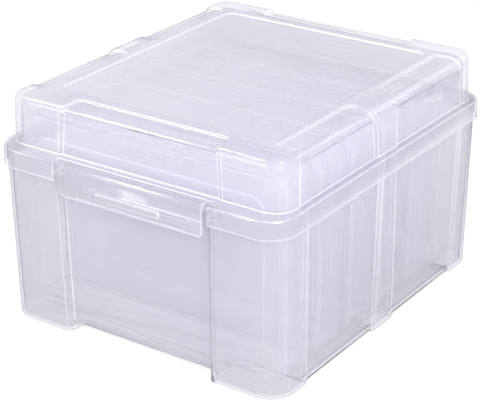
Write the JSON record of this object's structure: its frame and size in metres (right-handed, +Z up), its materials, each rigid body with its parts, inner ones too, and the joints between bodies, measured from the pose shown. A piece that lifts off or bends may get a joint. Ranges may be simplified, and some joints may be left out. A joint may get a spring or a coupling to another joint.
{
  "type": "photo keeper case",
  "caption": "See-through storage box with a hinged lid and a front latch, holding upright snap-shut cases for photo prints.",
  "frame": {"origin": "middle of the underside, on the surface that the box stands on", "axes": "+Z up, -Y towards the latch, +X to the right of a person who faces the latch"},
  "size_m": [0.216, 0.2574, 0.1517],
  "materials": {
    "bin": "frosted see-through polypropylene, fine matt inside and smooth outside",
    "lid": "frosted see-through polypropylene, smooth outside",
    "latch": "frosted see-through polypropylene, smooth",
    "case_tray": "clear polypropylene, smooth",
    "case_cover": "clear polypropylene, smooth"
  },
  "bodies": {
    "bin": {"bin": "bin"},
    "lid": {"lid": "lid"},
    "latch": {"latch": "latch"},
    "photo_case_1": {"photo_case_1_tray": "case_tray", "photo_case_1_cover": "case_cover"},
    "photo_case_2": {"photo_case_2_tray": "case_tray", "photo_case_2_cover": "case_cover"},
    "photo_case_3": {"photo_case_3_tray": "case_tray", "photo_case_3_cover": "case_cover"},
    "photo_case_4": {"photo_case_4_tray": "case_tray", "photo_case_4_cover": "case_cover"},
    "photo_case_5": {"photo_case_5_tray": "case_tray", "photo_case_5_cover": "case_cover"},
    "photo_case_6": {"photo_case_6_tray": "case_tray", "photo_case_6_cover": "case_cover"}
  },
  "joints": [
    {"name": "lid_hinge", "type": "hinge", "parent": "bin", "child": "lid", "pos_m": [0, 0.1255, 0.107], "axis": [-1, 0, 0], "range_deg": [0, 110]},
    {"name": "latch_hinge", "type": "hinge", "parent": "lid", "child": "latch", "pos_m": [0, -0.1236, 0.1163], "axis": [-1, 0, 0], "range_deg": [0, 110]},
    {"name": "photo_case_1_lift", "type": "slide", "parent": "bin", "child": "photo_case_1", "axis": [0, 0, 1], "range_m": [0, 0.006]},
    {"name": "photo_case_2_lift", "type": "slide", "parent": "bin", "child": "photo_case_2", "axis": [0, 0, 1], "range_m": [0, 0.006]},
    {"name": "photo_case_3_lift", "type": "slide", "parent": "bin", "child": "photo_case_3", "axis": [0, 0, 1], "range_m": [0, 0.006]},
    {"name": "photo_case_4_lift", "type": "slide", "parent": "bin", "child": "photo_case_4", "axis": [0, 0, 1], "range_m": [0, 0.006]},
    {"name": "photo_case_5_lift", "type": "slide", "parent": "bin", "child": "photo_case_5", "axis": [0, 0, 1], "range_m": [0, 0.006]},
    {"name": "photo_case_6_lift", "type": "slide", "parent": "bin", "child": "photo_case_6", "axis": [0, 0, 1], "range_m": [0, 0.006]}
  ]
}
